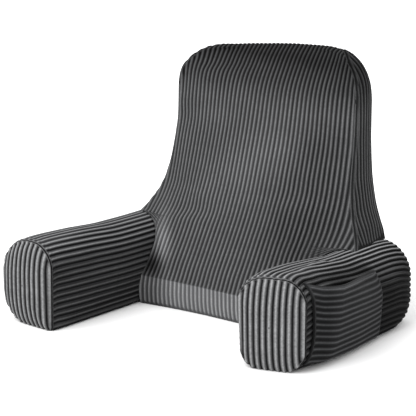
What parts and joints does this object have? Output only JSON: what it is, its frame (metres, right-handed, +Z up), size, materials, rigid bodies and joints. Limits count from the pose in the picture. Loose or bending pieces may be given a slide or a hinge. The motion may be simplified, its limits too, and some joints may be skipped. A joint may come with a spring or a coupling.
{
  "type": "reading pillow with arms",
  "caption": "Filled back cushion with two bolster arms in wide-ribbed velvet, to sit up against in bed, with a pocket on the outer side of one arm.",
  "frame": {"origin": "on the floor, in the middle of the back cushion's base", "axes": "+Z up, the seat opens towards -Y, +X towards the arm with the pocket, which is the right-hand one seen from the front"},
  "size_m": [0.6921, 0.5043, 0.5214],
  "materials": {
    "back_velvet": "charcoal ribbed velvet, soft sheen on the crests",
    "arm_velvet": "charcoal ribbed velvet, pile lying along the arm",
    "cap_velvet": "charcoal ribbed velvet, upright ribs, lighter pile",
    "pocket_velvet": "charcoal ribbed velvet with a hemmed top"
  },
  "bodies": {
    "root": {"back_cushion": "back_velvet", "left_arm": "arm_velvet", "right_arm": "arm_velvet", "left_end_cap": "cap_velvet", "right_end_cap": "cap_velvet", "side_pocket": "pocket_velvet"}
  },
  "joints": []
}
